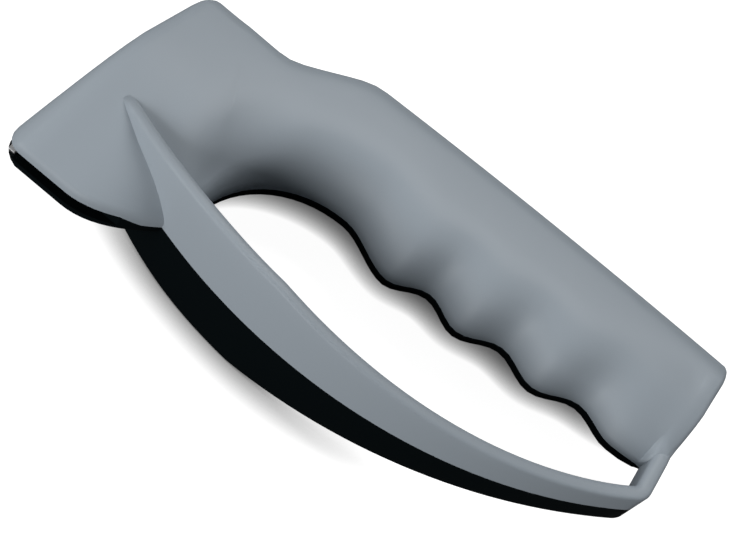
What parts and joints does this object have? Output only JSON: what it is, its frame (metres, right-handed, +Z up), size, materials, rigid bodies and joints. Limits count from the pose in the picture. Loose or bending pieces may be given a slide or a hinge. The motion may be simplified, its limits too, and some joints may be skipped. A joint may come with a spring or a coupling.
{
  "type": "knife sharpener",
  "caption": "Hand-held knife sharpener: two-tone moulded body with finger grooves, a wide bowed finger guard and a mouth slot with crossed carbide plates.",
  "frame": {"origin": "centre of the bounding box in X and Y, on the plane that the guard's edge rests on", "axes": "+X along the grip from the head to the tail, +Y from the mouth and the guard to the back of the grip, +Z up through the thickness, from the black shell to the grey shell"},
  "size_m": [0.144, 0.0705, 0.031],
  "materials": {
    "grey_plastic": "satin, moulded",
    "black_plastic": "satin, moulded",
    "holder_plastic": "matt, moulded",
    "carbide": "ground",
    "steel": "zinc plated"
  },
  "bodies": {
    "root": {"upper_shell": "grey_plastic", "lower_shell": "black_plastic", "cutter_holder": "holder_plastic", "front_cutter": "carbide", "rear_cutter": "carbide", "cutter_pin": "steel", "holder_screws": "steel", "case_screws": "steel"}
  },
  "joints": []
}
